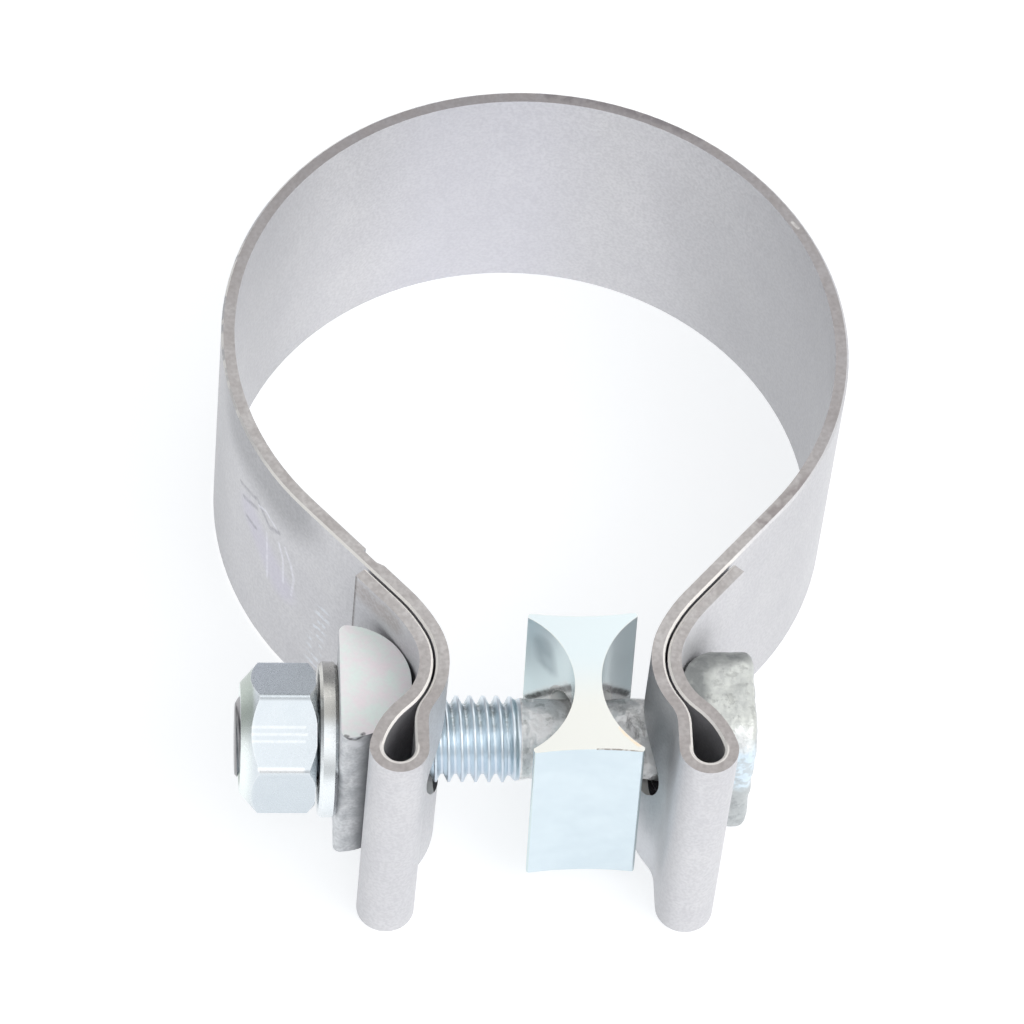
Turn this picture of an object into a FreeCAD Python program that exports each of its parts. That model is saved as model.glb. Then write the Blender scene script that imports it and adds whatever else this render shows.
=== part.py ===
import FreeCAD, Part
import math
import os

from FreeCAD import Vector

# The clamp stands on the lower rim of its band. The origin is on the band's
# axis at half its width. Z runs along that axis, X along the bolt from the
# nut to the bolt's head, and Y from the bolt to the far side of the band.

# Strip that the band is bent from
strip_width = 33.3
strip_thickness = 1.5
rim_chamfer = 0.25

# Round part of the band
bore_radius = 34.2
leave_angle = 41.2

# Flanges: each is the strip bent out, looped round and laid back on itself
crown_gap = 22.2
approach_radius = 20.5
crown_radius = 10.2
crown_before_middle = 25.0
crown_past_middle = 34.7
neck_radius = 4.0
loop_drop = 11.4
loop_inner_radius = 1.75
valley_past_middle = 48.0
lap_gap = 0.3
right_lap = 6.5
left_lap = 5.3
flange_hole_radius = 6.5

# Shallow nick in the left flange's upper edge
nick_depth = 0.35
nick_length = 3.0
nick_ramp = 0.9
nick_height = 2.5
nick_from_approach = 4.2

# Bolt, which lies a little low in the flange holes
bolt_above_crown = 0.7
bolt_sag = 0.5
thread_radius = 4.85
thread_stop = -2.4
shank_radius = 4.6
bolt_end_radius = 4.1
bolt_past_nut = 0.5

# Half-round forged head of the bolt
head_radius = 7.4
head_depth = 8.5
head_width = 14.2
head_length = 21.0
head_corner_radius = 4.6
head_edge_round = 1.2

# Half-round bar under the nut
bar_radius = 7.4
bar_depth = 7.85
bar_length = 23.7
bar_hole_radius = 5.6
bar_sag = 0.25
bar_edge_round = 0.8

# Washer
washer_radius = 8.7
washer_hole_radius = 5.25
washer_thickness = 2.0
washer_sag = 0.3
washer_chamfer = 0.35

# Hexagon nut
nut_flats = 14.8
nut_length = 8.4
nut_turned = 30.0
nut_corner_round = 1.0
nut_inner_face_radius = 7.5
nut_outer_face_radius = 6.15
nut_chamfer_slope = 1.1
nut_countersink = 0.5

# Reaction block between the flanges, cut from an hourglass section
block_place = 4.65
block_height = 25.0
block_depth = 18.45
block_width = 12.2
block_waist = 2.95
block_waist_shift = 0.25
block_land = 0.6
block_face_hollow = 0.45
block_corner_round = 0.35
block_hole_radius = 6.0
block_sag = 0.4
block_forward = 0.3
block_lean = 1.7

# Clearances
seat_gap = 0.12
washer_gap = 0.05
nut_gap = 0.35
thread_clearance = 0.05

OVERCUT = 1.0


def polar(radius, degrees):
    turn = math.radians(degrees)
    return Vector(radius * math.cos(turn), radius * math.sin(turn), 0)


def arc_between(centre, radius, first, last):
    """Circular arc in the XY plane, from one angle in degrees to another."""
    middle = (first + last) / 2
    return Part.Arc(
        centre + polar(radius, first),
        centre + polar(radius, middle),
        centre + polar(radius, last),
    ).toShape()


def closed_face(edges):
    return Part.Face(Part.Wire(Part.sortEdges(edges)[0]))


def x_cylinder(radius, x_from, x_to, y, z):
    return Part.makeCylinder(radius, x_to - x_from, Vector(x_from, y, z), Vector(1, 0, 0))


def mirrored(shape):
    return shape.mirror(Vector(0, 0, 0), Vector(1, 0, 0))


# Places worked out from the sizes

band_mid_radius = bore_radius + strip_thickness / 2
valley_depth = 2 * strip_thickness + lap_gap
valley_radius = crown_radius - valley_depth


def approach_centre():
    """Centre of the wide arc that leads the straight run into the crown.

    The arc touches the straight run, which touches the round part, and its centre lies
    beyond the crown's by the difference of the two radii.
    """
    lead = polar(approach_radius - crown_radius, -crown_before_middle)
    x = crown_gap / 2 + crown_radius + lead.x
    away = polar(1, -leave_angle)
    y = (bore_radius + approach_radius - x * away.x) / away.y
    return Vector(x, y, 0)


approach = approach_centre()
crown = approach - polar(approach_radius - crown_radius, -crown_before_middle)
bolt_y = crown.y + bolt_above_crown
bolt_z = -bolt_sag


def rest_x(radius):
    """Where the centre of a round lies when it rests against the flange beside the valley."""
    reach = approach_radius - valley_depth - radius - seat_gap
    rise = bolt_y - approach.y
    return approach.x - math.sqrt(reach ** 2 - rise ** 2)


head_x = rest_x(head_radius)
head_flat_x = head_x - head_radius + head_depth
bar_x = -rest_x(bar_radius)
bar_flat_x = bar_x + bar_radius - bar_depth
washer_inner_x = bar_flat_x - washer_gap
washer_outer_x = washer_inner_x - washer_thickness
nut_inner_x = washer_outer_x - nut_gap
nut_outer_x = nut_inner_x - nut_length
bolt_end_x = nut_outer_x - bolt_past_nut


def loop_closing(loop_centre, loop_mid, valley_mid):
    """Arc that carries the loop back into the valley: its radius and the heading where it starts."""
    outward = polar(1, 180 + valley_past_middle)
    offset = crown - loop_centre + outward * valley_mid
    radius = (loop_mid ** 2 - offset.dot(offset)) / (2 * (offset.dot(outward) + loop_mid))
    to_loop = Vector(0, 0, 0) - offset - outward * radius
    return radius, 90 + math.degrees(math.atan2(to_loop.y, to_loop.x))


def flange_moves(lap):
    """Moves of the strip's middle line from the round part to the free end.

    A move is a radius and a turn in degrees, to the left where it is positive, or for a
    straight run None and a length.
    """
    half = strip_thickness / 2
    crown_mid = crown_radius - half
    approach_mid = approach_radius - half
    neck_mid = neck_radius + half
    loop_mid = loop_inner_radius + half
    valley_mid = valley_radius + half

    straight_start = polar(band_mid_radius, -leave_angle)
    straight_end = approach + polar(approach_mid, 180 - leave_angle)
    crown_end = crown + polar(crown_mid, 180 + crown_past_middle)
    neck_end = crown_end + polar(neck_mid, 0) - polar(neck_mid, crown_past_middle)
    loop_centre = Vector(neck_end.x + loop_mid, crown.y - loop_drop, 0)
    back_radius, back_heading = loop_closing(loop_centre, loop_mid, valley_mid)
    valley_heading = 90 + valley_past_middle
    approach_turn = leave_angle - crown_before_middle

    return [
        (None, (straight_end - straight_start).Length),
        (approach_mid, approach_turn),
        (crown_mid, crown_before_middle + crown_past_middle),
        (neck_mid, -crown_past_middle),
        (None, neck_end.y - loop_centre.y),
        (loop_mid, 90 + back_heading),
        (back_radius, valley_heading - back_heading),
        (valley_mid, -valley_past_middle - crown_before_middle),
        (approach_mid - valley_depth + strip_thickness, -approach_turn),
        (None, lap),
    ]


def edges_beside(start, heading, moves, side):
    """Edges that follow a path of moves at a distance to its left, and where they end."""
    edges = []
    point = start
    for radius, amount in moves:
        left = polar(1, heading + 90)
        if radius is None:
            ahead = polar(amount, heading)
            edges.append(Part.makeLine(point + left * side, point + left * side + ahead))
            point = point + ahead
            continue
        way = math.copysign(1, amount)
        centre = point + left * (radius * way)
        first = heading - 90 * way
        edges.append(arc_between(centre, radius - side * way, first, first + amount))
        point = centre + polar(radius, first + amount)
        heading = heading + amount
    return edges, point + polar(side, heading + 90)


def flange_edges(lap):
    """Both sides of the right flange's strip and its square free end."""
    start = polar(band_mid_radius, -leave_angle)
    heading = -leave_angle - 90
    moves = flange_moves(lap)
    half = strip_thickness / 2
    outside, outside_end = edges_beside(start, heading, moves, half)
    inside, inside_end = edges_beside(start, heading, moves, -half)
    return outside, inside, Part.makeLine(outside_end, inside_end)


def band_profile():
    origin = Vector(0, 0, 0)
    wrap = (-leave_angle, 180 + leave_angle)
    edges = [
        arc_between(origin, bore_radius, *wrap),
        arc_between(origin, bore_radius + strip_thickness, *wrap),
    ]
    for lap, place in ((right_lap, None), (left_lap, mirrored)):
        outside, inside, end = flange_edges(lap)
        side = outside + inside + [end]
        edges += [place(edge) for edge in side] if place else side
    return closed_face(edges)


def outer_rim_edges(solid):
    """Edges of both rims along the strip's outer face, which the slitting breaks."""
    outside = Part.Compound(
        [arc_between(Vector(0, 0, 0), bore_radius + strip_thickness, -leave_angle, 180 + leave_angle)]
        + flange_edges(right_lap)[0]
        + [mirrored(edge) for edge in flange_edges(left_lap)[0]]
    )
    found = []
    for edge in solid.Edges:
        low, high = edge.BoundBox.ZMin, edge.BoundBox.ZMax
        if high - low > 0.001 or abs(abs(low) - strip_width / 2) > 0.001:
            continue
        middle = edge.valueAt((edge.FirstParameter + edge.LastParameter) / 2)
        flat = Part.Vertex(middle.x, middle.y, 0)
        if flat.distToShape(outside)[0] < 0.01:
            found.append(edge)
    return found


def nick_cutter():
    """Prism that bites into the left flange's inner face, square at one end and ramped at the other."""
    face = approach + polar(approach_radius, 180 - leave_angle)
    upward = polar(1, 90 - leave_angle)
    inward = polar(1, -leave_angle)
    start = face + upward * nick_from_approach
    outline = [
        (0, -OVERCUT),
        (0, 0),
        (nick_ramp, nick_depth),
        (nick_length, nick_depth),
        (nick_length, -OVERCUT),
    ]
    points = [start + upward * along + inward * depth for along, depth in outline]
    prism = Part.Face(Part.makePolygon(points + points[:1])).extrude(Vector(0, 0, nick_height + OVERCUT))
    prism.translate(Vector(0, 0, strip_width / 2 - nick_height))
    return mirrored(prism)


def band():
    profile = band_profile()
    profile.translate(Vector(0, 0, -strip_width / 2))
    solid = profile.extrude(Vector(0, 0, strip_width))
    solid = solid.makeChamfer(rim_chamfer, outer_rim_edges(solid))
    reach = crown.x + crown_radius
    holes = x_cylinder(flange_hole_radius, -reach, reach, bolt_y, 0)
    return solid.cut(holes).cut(nick_cutter())


def half_round(radius, depth, length, x, y, z, way):
    """Bar of D section along Z, round towards -X where way is 1 and towards +X where it is -1."""
    start = Vector(x, y, z - length / 2)
    barrel = Part.makeCylinder(radius, length, start)
    half = 2 * radius
    keep = Part.makeBox(half, 2 * half, length + 2 * OVERCUT)
    flat_x = x + way * (depth - radius)
    low_x = flat_x - half if way > 0 else flat_x
    keep.translate(Vector(low_x, y - half, start.z - OVERCUT))
    return barrel.common(keep)


def edges_at_x(solid, x):
    return [
        edge
        for edge in solid.Edges
        if abs(edge.BoundBox.XMin - x) < 0.001 and abs(edge.BoundBox.XMax - x) < 0.001
    ]


def half_round_bar():
    z = bolt_z - bar_sag
    bar = half_round(bar_radius, bar_depth, bar_length, bar_x, bolt_y, z, -1)
    long_edges = [edge for edge in edges_at_x(bar, bar_flat_x) if edge.BoundBox.ZLength > bar_length / 2]
    bar = bar.makeFillet(bar_edge_round, long_edges)
    reach = 2 * bar_radius
    return bar.cut(x_cylinder(bar_hole_radius, bar_x - reach, bar_x + reach, bolt_y, z))


def rounded_outline(width, height, corner, y, z, x_from, x_to):
    """Slab along X whose outline in the YZ plane is a rectangle with round corners."""
    box = Part.makeBox(x_to - x_from, width, height, Vector(x_from, y - width / 2, z - height / 2))
    along_x = [edge for edge in box.Edges if edge.BoundBox.XLength > (x_to - x_from) / 2]
    return box.makeFillet(corner, along_x)


def bolt_head():
    """Half-round head with the soft corners that forging leaves."""
    bar = half_round(head_radius, head_depth, head_length, head_x, bolt_y, bolt_z, 1)
    outline = rounded_outline(
        head_width,
        head_length,
        head_corner_radius,
        bolt_y,
        bolt_z,
        head_x - head_radius - OVERCUT,
        head_flat_x + OVERCUT,
    )
    head = bar.common(outline)
    return head.makeFillet(head_edge_round, edges_at_x(head, head_flat_x))


def tee_bolt():
    end_cone = thread_radius - bolt_end_radius
    run_out = thread_radius - shank_radius
    profile = [
        (bolt_end_x, 0),
        (bolt_end_x, bolt_end_radius),
        (bolt_end_x + end_cone, thread_radius),
        (thread_stop, thread_radius),
        (thread_stop + run_out, shank_radius),
        (head_x, shank_radius),
        (head_x, 0),
        (bolt_end_x, 0),
    ]
    wire = Part.makePolygon([Vector(x, r, 0) for x, r in profile])
    rod = Part.Face(wire).revolve(Vector(0, 0, 0), Vector(1, 0, 0), 360)
    rod.translate(Vector(0, bolt_y, bolt_z))
    return rod.fuse(bolt_head()).removeSplitter()


def washer():
    z = bolt_z - washer_sag
    disc = x_cylinder(washer_radius, washer_outer_x, washer_inner_x, bolt_y, z)
    disc = disc.makeChamfer(washer_chamfer, [edge for edge in disc.Edges if edge.BoundBox.XLength < 0.001])
    hole = x_cylinder(washer_hole_radius, washer_outer_x - OVERCUT, washer_inner_x + OVERCUT, bolt_y, z)
    return disc.cut(hole)


def hexagon(flats, turned):
    corner = flats / math.sqrt(3)
    points = []
    for step in range(7):
        turn = math.radians(turned + 60 * step)
        points.append(Vector(0, corner * math.cos(turn), corner * math.sin(turn)))
    return Part.Face(Part.makePolygon(points))


def hex_nut():
    """Nut whose flats run into a cone at each end, the deeper cone on the open side."""
    prism = hexagon(nut_flats, nut_turned).extrude(Vector(nut_length, 0, 0))
    corners = [edge for edge in prism.Edges if edge.BoundBox.XLength > nut_length / 2]
    prism = prism.makeFillet(nut_corner_round, corners)
    rim = nut_flats / math.sqrt(3) + OVERCUT
    outer_run = (rim - nut_outer_face_radius) / nut_chamfer_slope
    inner_run = (rim - nut_inner_face_radius) / nut_chamfer_slope
    bore = thread_radius + thread_clearance
    sink = bore + nut_countersink
    outline = [
        (0, sink),
        (0, nut_outer_face_radius),
        (outer_run, rim),
        (nut_length - inner_run, rim),
        (nut_length, nut_inner_face_radius),
        (nut_length, sink),
        (nut_length - nut_countersink, bore),
        (nut_countersink, bore),
        (0, sink),
    ]
    wire = Part.makePolygon([Vector(x, r, 0) for x, r in outline])
    turned = Part.Face(wire).revolve(Vector(0, 0, 0), Vector(1, 0, 0), 360)
    nut = prism.common(turned)
    nut.translate(Vector(nut_outer_x, bolt_y, bolt_z))
    return nut


def hollow_arc(first, last, depth):
    """Arc from one point to the next whose middle is drawn in towards the left by a depth."""
    along = last - first
    left = Vector(-along.y, along.x, 0).normalize()
    return Part.Arc(first, (first + last) / 2 + left * depth, last).toShape()


def block_profile():
    """Hourglass section, with a short land at each tip of its hollow sides."""
    half_width = block_width / 2
    half_depth = block_depth / 2
    tip = half_depth - block_land
    hollow = (block_width - block_waist) / 2
    corners = [
        Vector(-half_width, -half_depth, 0),
        Vector(half_width, -half_depth, 0),
        Vector(half_width, -tip, 0),
        Vector(half_width, tip, 0),
        Vector(half_width, half_depth, 0),
        Vector(-half_width, half_depth, 0),
        Vector(-half_width, tip, 0),
        Vector(-half_width, -tip, 0),
    ]
    return closed_face([
        hollow_arc(corners[0], corners[1], block_face_hollow),
        Part.makeLine(corners[1], corners[2]),
        hollow_arc(corners[2], corners[3], hollow - block_waist_shift),
        Part.makeLine(corners[3], corners[4]),
        hollow_arc(corners[4], corners[5], block_face_hollow),
        Part.makeLine(corners[5], corners[6]),
        hollow_arc(corners[6], corners[7], hollow + block_waist_shift),
        Part.makeLine(corners[7], corners[0]),
    ])


def reaction_block():
    """Block that hangs loosely on the bolt by its cross hole, leaning a little and clear of the bore."""
    block = block_profile().extrude(Vector(0, 0, block_height))
    block.translate(Vector(0, 0, -block_height / 2))
    corners = [
        edge
        for edge in block.Edges
        if edge.BoundBox.ZLength > block_height / 2
        and abs(abs(edge.CenterOfMass.y) - block_depth / 2) < 0.001
    ]
    block = block.makeFillet(block_corner_round, corners)
    reach = block_width
    block = block.cut(x_cylinder(block_hole_radius, -reach, reach, 0, 0))
    block.rotate(Vector(0, 0, 0), Vector(0, 1, 0), -block_lean)
    block.translate(Vector(block_place, bolt_y - block_forward, bolt_z - block_sag))
    return block


PIECES = {
    "band": band,
    "tee_bolt": tee_bolt,
    "half_round_bar": half_round_bar,
    "washer": washer,
    "hex_nut": hex_nut,
    "reaction_block": reaction_block,
}

os.makedirs("parts", exist_ok=True)
for name, make in PIECES.items():
    shape = make()
    shape.exportStep("parts/" + name + ".step")
    print(name, shape.isValid(), len(shape.Solids), round(shape.Volume, 1))
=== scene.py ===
# %% [markdown]
# # An exhaust band clamp in a studio
#
# The clamp is a wide strip of aluminised steel, bent into a pear shape whose two ends are folded into flanges.
# A forged tee bolt draws the flanges together. Under its nut lie a washer and a half-round bar, and an hourglass
# block hangs on the bolt between the flanges.
#
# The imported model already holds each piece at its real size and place. This lesson gives every surface its finish
# and cuts the thread, which the plain solid of the bolt leaves out. All lengths in Blender are metres here.

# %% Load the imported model
import math

import bmesh
import bpy
from mathutils import Matrix, Vector, noise


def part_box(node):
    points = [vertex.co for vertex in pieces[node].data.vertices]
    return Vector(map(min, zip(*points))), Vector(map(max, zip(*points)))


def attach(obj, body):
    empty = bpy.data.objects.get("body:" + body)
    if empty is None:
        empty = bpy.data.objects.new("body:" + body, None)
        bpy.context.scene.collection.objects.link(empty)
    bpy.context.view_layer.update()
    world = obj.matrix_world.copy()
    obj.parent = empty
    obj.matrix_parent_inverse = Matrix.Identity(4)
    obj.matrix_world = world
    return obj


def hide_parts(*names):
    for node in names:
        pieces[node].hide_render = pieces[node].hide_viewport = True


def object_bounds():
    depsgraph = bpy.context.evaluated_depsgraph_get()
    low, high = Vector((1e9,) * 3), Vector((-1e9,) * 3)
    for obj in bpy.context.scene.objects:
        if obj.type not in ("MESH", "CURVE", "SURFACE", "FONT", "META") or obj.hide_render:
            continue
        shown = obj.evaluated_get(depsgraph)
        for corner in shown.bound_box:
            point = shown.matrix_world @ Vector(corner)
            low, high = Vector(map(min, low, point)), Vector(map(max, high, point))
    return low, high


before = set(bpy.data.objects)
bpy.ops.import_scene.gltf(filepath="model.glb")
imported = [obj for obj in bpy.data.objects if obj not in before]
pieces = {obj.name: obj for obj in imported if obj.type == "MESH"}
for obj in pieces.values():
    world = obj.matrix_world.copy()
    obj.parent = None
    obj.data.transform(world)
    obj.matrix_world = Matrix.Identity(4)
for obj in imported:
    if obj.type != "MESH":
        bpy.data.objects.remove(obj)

MM = 0.001
cad_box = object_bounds()
bolt_low, bolt_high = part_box("tee_bolt")
BOLT_Y = (bolt_low[1] + bolt_high[1]) / 2
BOLT_Z = (bolt_low[2] + bolt_high[2]) / 2
print("pieces:", ", ".join(sorted(pieces)))

# %% [markdown]
# ## The camera
#
# The photograph was taken from the front and above with a long lens, so the clamp shows little perspective.
# A camera can be set by hand until the picture looks alike, or worked out from things of known shape in it.
# Here the two round rims and the straight bolt gave the viewing direction, the roll and the distance. The line
# through the middle of the lens meets the picture off its middle, which the lens shift takes up.

# %% Place the camera
IMAGE_SIDE = 1024
LENS_CENTRE = (526.27, 423.42)
FOCAL_PIXELS = 6543.66
SENSOR_WIDTH = 36.0
CAMERA_AZIMUTH, CAMERA_ELEVATION, CAMERA_ROLL = -7.343, 54.24, 6.454
CAMERA_DISTANCE = 0.7562


def camera_matrix(azimuth, elevation, roll, distance):
    """Camera that looks at the origin, turned about its own line of sight by the roll."""
    a, e, r = (math.radians(angle) for angle in (azimuth, elevation, roll))
    back = Vector((math.sin(a) * math.cos(e), -math.cos(a) * math.cos(e), math.sin(e)))
    level = Vector((math.cos(a), math.sin(a), 0))
    across = level * math.cos(r) + back.cross(level) * math.sin(r)
    turn = Matrix((across, back.cross(across), back)).transposed()
    return Matrix.Translation(back * distance) @ turn.to_4x4()


lens = bpy.data.cameras.new("camera")
lens.sensor_width = SENSOR_WIDTH
lens.lens = FOCAL_PIXELS / IMAGE_SIDE * SENSOR_WIDTH
lens.shift_x = 0.5 - LENS_CENTRE[0] / IMAGE_SIDE
lens.shift_y = LENS_CENTRE[1] / IMAGE_SIDE - 0.5
lens.clip_start = 0.01
camera = bpy.data.objects.new("camera", lens)
camera.matrix_world = camera_matrix(CAMERA_AZIMUTH, CAMERA_ELEVATION, CAMERA_ROLL, CAMERA_DISTANCE)
bpy.context.scene.collection.objects.link(camera)
bpy.context.scene.camera = camera
print("lens of", round(lens.lens), "mm at", round(CAMERA_DISTANCE, 3), "m")

# %% [markdown]
# ## Small helpers for node trees
#
# Every finish below is a tree of shader nodes. Written out in full, each node takes four or five lines. The helper
# `put` adds a node and fills its inputs, where an input may be a number, a colour or the output of another node.
# Numbers and masks are then worked out by a few helpers that read like arithmetic.

# %% Helpers for numbers and masks
def put(tree, kind, inputs=None, **settings):
    """Adds a node, fills its inputs by name or place, and returns it."""
    node = tree.nodes.new(kind)
    for name, value in settings.items():
        setattr(node, name, value)
    for name, value in (inputs or {}).items():
        if isinstance(value, bpy.types.NodeSocket):
            tree.links.new(value, node.inputs[name])
        else:
            node.inputs[name].default_value = value
    return node


def maths(tree, operation, first, second=0.0, clamp=False):
    return put(tree, "ShaderNodeMath", {0: first, 1: second}, operation=operation, use_clamp=clamp).outputs[0]


def product(tree, first, *others):
    for other in others:
        first = maths(tree, "MULTIPLY", first, other)
    return first


def remainder(tree, share):
    """What a share leaves of one whole."""
    return maths(tree, "SUBTRACT", 1.0, share)


def step_between(tree, value, low, high, at_low=0.0, at_high=1.0):
    """Smooth change from one number to another as a value goes from low to high."""
    inputs = {"Value": value, "From Min": low, "From Max": high, "To Min": at_low, "To Max": at_high}
    return put(tree, "ShaderNodeMapRange", inputs, interpolation_type="SMOOTHSTEP").outputs[0]


print("helpers: put, maths, product, remainder, step_between")

# %% [markdown]
# Colours are easiest to judge on the scale of a picture, from 0 to 255, but the shader needs them on the linear
# scale of light. Nearly every detail below is a tint: a base colour moves towards a tone where a mask says so.

# %% Helpers for colours
def colour(red, green, blue):
    """Colour from the 0 to 255 scale of a picture to the linear scale of light."""
    linear = [(c / 255) / 12.92 if c <= 10 else ((c / 255 + 0.055) / 1.055) ** 2.4 for c in (red, green, blue)]
    return (*linear, 1.0)


def mix_colour(tree, factor, first, second):
    return put(tree, "ShaderNodeMix", {0: factor, 6: first, 7: second}, data_type="RGBA").outputs[2]


def tint(tree, base, mask, tone, strength=1.0):
    """Moves a base colour towards a tone of 0 to 255, as far as a mask and a strength say."""
    factor = mask if strength == 1.0 else product(tree, mask, strength)
    return mix_colour(tree, factor, base, colour(*tone))


print("white stays", colour(255, 255, 255)[:3])

# %% [markdown]
# ## The studio
#
# A product like this is photographed on white paper between large diffusers, so that bare metal shows soft greys
# and no hard lamps. The paper is a wide plane just under the lower rim. It is lit a little from below, so that it
# stays white under the clamp, and slightly more so at its left.

# %% Lay the paper
FLOOR_SIDE = 6.0
FLOOR_GAP = 0.02 * MM
GLOW_LEFT, GLOW_RIGHT = 0.78, 0.72
PAPER_GREY = (0.4, 0.4, 0.4, 1.0)
GLOW_TINT = (0.97, 0.985, 1.0, 1.0)


def paper_finish():
    material = bpy.data.materials.new("lit_paper")
    material.use_nodes = True
    tree = material.node_tree
    surface = tree.nodes["Principled BSDF"]
    surface.inputs["Base Color"].default_value = PAPER_GREY
    surface.inputs["Roughness"].default_value = 0.9
    surface.inputs["Emission Color"].default_value = GLOW_TINT
    place = put(tree, "ShaderNodeTexCoord").outputs["Object"]
    sideways = put(tree, "ShaderNodeSeparateXYZ", {0: place}).outputs[0]
    glow = step_between(tree, sideways, -0.25, 0.15, GLOW_LEFT, GLOW_RIGHT)
    tree.links.new(glow, surface.inputs["Emission Strength"])
    return material


def build_floor():
    half = FLOOR_SIDE / 2
    height = cad_box[0][2] - FLOOR_GAP
    mesh = bpy.data.meshes.new("floor")
    corners = [(-half, -half, height), (half, -half, height), (half, half, height), (-half, half, height)]
    mesh.from_pydata(corners, [], [(0, 1, 2, 3)])
    mesh.materials.append(paper_finish())
    floor = bpy.data.objects.new("floor", mesh)
    bpy.context.scene.collection.objects.link(floor)


build_floor()
print("paper of", FLOOR_SIDE, "m")

# %% [markdown]
# The diffusers could be many area lights, but metal shows their outlines, so most of the light comes from a sky of
# soft greys: darker to the left, brighter to the right, and brightest behind the camera, where every face that looks
# at the camera finds its light.

# %% Make the sky
SKY_LEFT, SKY_RIGHT = 0.32, 0.79
FRONT_GLOW = 0.55
OVERHEAD_GLOW = 0.13
COOL_SKY, WHITE_SKY = (0.92, 0.96, 1.0, 1.0), (1.0, 1.0, 1.0, 1.0)


def build_sky():
    world = bpy.data.worlds.new("studio")
    world.use_nodes = True
    tree = world.node_tree
    direction = put(tree, "ShaderNodeTexCoord").outputs["Generated"]
    parts = put(tree, "ShaderNodeSeparateXYZ", {0: direction}).outputs
    sideways = step_between(tree, parts[0], -0.9, 0.7, SKY_LEFT, SKY_RIGHT)
    forward = step_between(tree, parts[1], 0.1, -0.5, 0.0, FRONT_GLOW)
    raised = product(tree, forward, step_between(tree, parts[2], 0.2, 0.7))
    overhead = step_between(tree, parts[2], 0.5, 0.85, 0.0, OVERHEAD_GLOW)
    level = maths(tree, "ADD", maths(tree, "ADD", sideways, raised), overhead)
    background = tree.nodes["Background"]
    tree.links.new(mix_colour(tree, sideways, COOL_SKY, WHITE_SKY), background.inputs["Color"])
    tree.links.new(level, background.inputs["Strength"])
    bpy.context.scene.world = world


build_sky()
print("sky from", SKY_LEFT, "at the left to", SKY_RIGHT, "at the right")

# %% [markdown]
# Two large area lights add the soft direction that gives form. The view transform is Standard, because the tones
# below were judged against the photograph without a film curve.

# %% Hang the lamps
LAMP_SIZE = 0.9
LAMPS = [("lamp_right", (0.9, -0.6, 0.9), 5.0), ("lamp_behind", (0.4, 0.9, 1.2), 1.5)]


def build_lamp(name, place, watts):
    """Square area light that faces the clamp."""
    light = bpy.data.lights.new(name, "AREA")
    light.size = LAMP_SIZE
    light.energy = watts
    lamp = bpy.data.objects.new(name, light)
    lamp.matrix_world = Matrix.Translation(place) @ Vector(place).to_track_quat("Z", "Y").to_matrix().to_4x4()
    bpy.context.scene.collection.objects.link(lamp)


for lamp_name, lamp_place, lamp_watts in LAMPS:
    build_lamp(lamp_name, lamp_place, lamp_watts)
bpy.context.scene.view_settings.view_transform = "Standard"
print("lamps:", len(LAMPS))

# %% [markdown]
# ## Shared surface effects
#
# No surface here is one even grey. The strip is cloudy where its coating froze, the plated pieces carry a fine
# grain, and every edge is rubbed a little brighter, which also serves as a painted highlight along it. These effects
# return in several finishes, so each is a node group, built once, with named inputs that every finish sets for
# itself.

# %% Make a node group
def new_group(name, inputs, outputs):
    """Empty group, its tree, and the sockets inside it. Inputs are numbers or places, outputs are numbers."""
    tree = bpy.data.node_groups.new(name, "ShaderNodeTree")
    for label, value in inputs.items():
        kind = "NodeSocketVector" if isinstance(value, tuple) else "NodeSocketFloat"
        tree.interface.new_socket(name=label, in_out="INPUT", socket_type=kind).default_value = value
    for label in outputs:
        tree.interface.new_socket(name=label, in_out="OUTPUT", socket_type="NodeSocketFloat")
    print("group:", name)
    return tree, put(tree, "NodeGroupInput").outputs, put(tree, "NodeGroupOutput").inputs


def use_group(tree, group, **values):
    """Places a group in a material and gives back its outputs. An underscore in a name stands for a space."""
    inputs = {name.replace("_", " "): value for name, value in values.items()}
    return put(tree, "ShaderNodeGroup", inputs, node_tree=group).outputs


print("groups so far:", len(bpy.data.node_groups))

# %% [markdown]
# The clouds and the grain both come from noise in the piece's own coordinates, so they stay on the piece when it
# moves. Sizes are in millimetres, which is how such marks are judged.

# %% Clouds and grain
def place_on(tree):
    """Place on the piece, in the piece's own coordinates."""
    return put(tree, "ShaderNodeTexCoord").outputs["Object"]


def noise_at(tree, place, size, detail, roughness=0.5):
    """Noise whose marks are about as large as a size in millimetres."""
    scale = maths(tree, "DIVIDE", 1 / MM, size)
    inputs = {"Vector": place, "Scale": scale, "Detail": detail, "Roughness": roughness}
    return put(tree, "ShaderNodeTexNoise", inputs).outputs[0]


def build_clouds():
    inputs = {"Cloud Size": 6.0, "Grain Size": 0.3, "Contrast": 1.0}
    tree, given, made = new_group("clouds_and_grain", inputs, ["Clouds", "Grain"])
    place = place_on(tree)
    clouds = noise_at(tree, place, given["Cloud Size"], 5.0, 0.6)
    grain = noise_at(tree, place, given["Grain Size"], 2.0)
    reach = maths(tree, "DIVIDE", 0.25, given["Contrast"])
    low, high = maths(tree, "SUBTRACT", 0.5, reach), maths(tree, "ADD", 0.5, reach)
    tree.links.new(step_between(tree, clouds, low, high), made["Clouds"])
    tree.links.new(step_between(tree, grain, low, high), made["Grain"])
    return tree


clouds_and_grain = build_clouds()
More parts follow.
